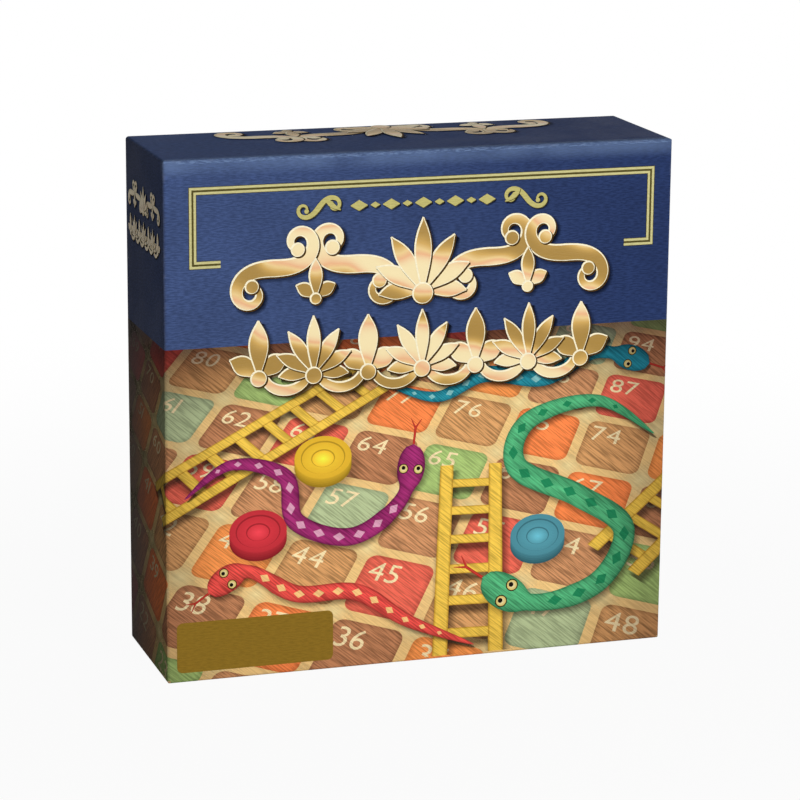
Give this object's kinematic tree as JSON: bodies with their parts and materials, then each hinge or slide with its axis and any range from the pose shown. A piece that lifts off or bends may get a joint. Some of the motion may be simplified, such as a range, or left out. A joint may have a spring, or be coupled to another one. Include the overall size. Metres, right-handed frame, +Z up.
{
  "type": "boxed snakes and ladders game",
  "caption": "Square rigid game box standing on edge, with a full-depth wrapped lid, a formed tray, a folding numbered board, pawns and a die inside.",
  "frame": {"origin": "on the ground, under the middle of the closed box standing on one side wall of its lid", "axes": "+Z up, -Y out of the lid's printed panel, +X to the right of a viewer who faces that panel"},
  "size_m": [0.267, 0.08, 0.267],
  "materials": {
    "grey_board": "raw grey board",
    "stay_tape": "gummed paper tape",
    "lid_paper": "printed, embossed, satin laminated paper",
    "base_paper": "plain dark paper with a linen emboss",
    "tray_plastic": "thermoformed sheet",
    "board_print": "printed, satin",
    "hinge_cloth": "cloth tape",
    "red_plastic": "moulded",
    "yellow_plastic": "moulded",
    "blue_plastic": "moulded",
    "green_plastic": "moulded",
    "white_plastic": "tumbled, with painted pips",
    "leaflet_paper": "uncoated paper"
  },
  "bodies": {
    "tray": {"base_blank": "grey_board", "base_corner_stays": "stay_tape", "base_wrap": "base_paper", "insert_tray": "tray_plastic"},
    "leaflet": {"rules_leaflet": "leaflet_paper"},
    "lid": {"lid_blank": "grey_board", "lid_corner_stays": "stay_tape", "lid_wrap": "lid_paper"},
    "rear_leaf": {"rear_core": "grey_board", "rear_face": "board_print", "rear_back": "base_paper", "rear_hinge_tape": "hinge_cloth"},
    "front_leaf": {"front_core": "grey_board", "front_face": "board_print", "front_back": "base_paper", "front_hinge_tape": "hinge_cloth"},
    "red_pawn": {"pawn_red": "red_plastic"},
    "yellow_pawn": {"pawn_yellow": "yellow_plastic"},
    "blue_pawn": {"pawn_blue": "blue_plastic"},
    "green_pawn": {"pawn_green": "green_plastic"},
    "loose_die": {"die": "white_plastic"}
  },
  "joints": [
    {"name": "leaflet_lift", "type": "slide", "parent": "tray", "child": "leaflet", "axis": [0, -1, 0], "range_m": [0, 0.48]},
    {"name": "lid_lift", "type": "slide", "parent": "leaflet", "child": "lid", "axis": [0, -1, 0], "range_m": [0, 0.7]},
    {"name": "board_lift", "type": "slide", "parent": "tray", "child": "rear_leaf", "axis": [0, -1, 0], "range_m": [0, 0.06]},
    {"name": "board_fold", "type": "hinge", "parent": "rear_leaf", "child": "front_leaf", "pos_m": [0, -0.0344, 0.1335], "axis": [0, 0, 1], "range_deg": [0, 180]},
    {"name": "red_pawn_lift", "type": "slide", "parent": "tray", "child": "red_pawn", "axis": [0, -1, 0], "range_m": [0, 0.03]},
    {"name": "yellow_pawn_lift", "type": "slide", "parent": "tray", "child": "yellow_pawn", "axis": [0, -1, 0], "range_m": [0, 0.03]},
    {"name": "blue_pawn_lift", "type": "slide", "parent": "tray", "child": "blue_pawn", "axis": [0, -1, 0], "range_m": [0, 0.03]},
    {"name": "green_pawn_lift", "type": "slide", "parent": "tray", "child": "green_pawn", "axis": [0, -1, 0], "range_m": [0, 0.03]},
    {"name": "die_lift", "type": "slide", "parent": "tray", "child": "loose_die", "axis": [0, -1, 0], "range_m": [0, 0.03]}
  ],
  "couplings": [
    {"joint": "board_lift", "follows": "leaflet_lift", "ratio": 0.125},
    {"joint": "board_fold", "follows": "leaflet_lift", "rad_per_m": 6.545},
    {"joint": "red_pawn_lift", "follows": "leaflet_lift", "ratio": 0.0625},
    {"joint": "yellow_pawn_lift", "follows": "leaflet_lift", "ratio": 0.0625},
    {"joint": "blue_pawn_lift", "follows": "leaflet_lift", "ratio": 0.0625},
    {"joint": "green_pawn_lift", "follows": "leaflet_lift", "ratio": 0.0625},
    {"joint": "die_lift", "follows": "leaflet_lift", "ratio": 0.0625}
  ]
}
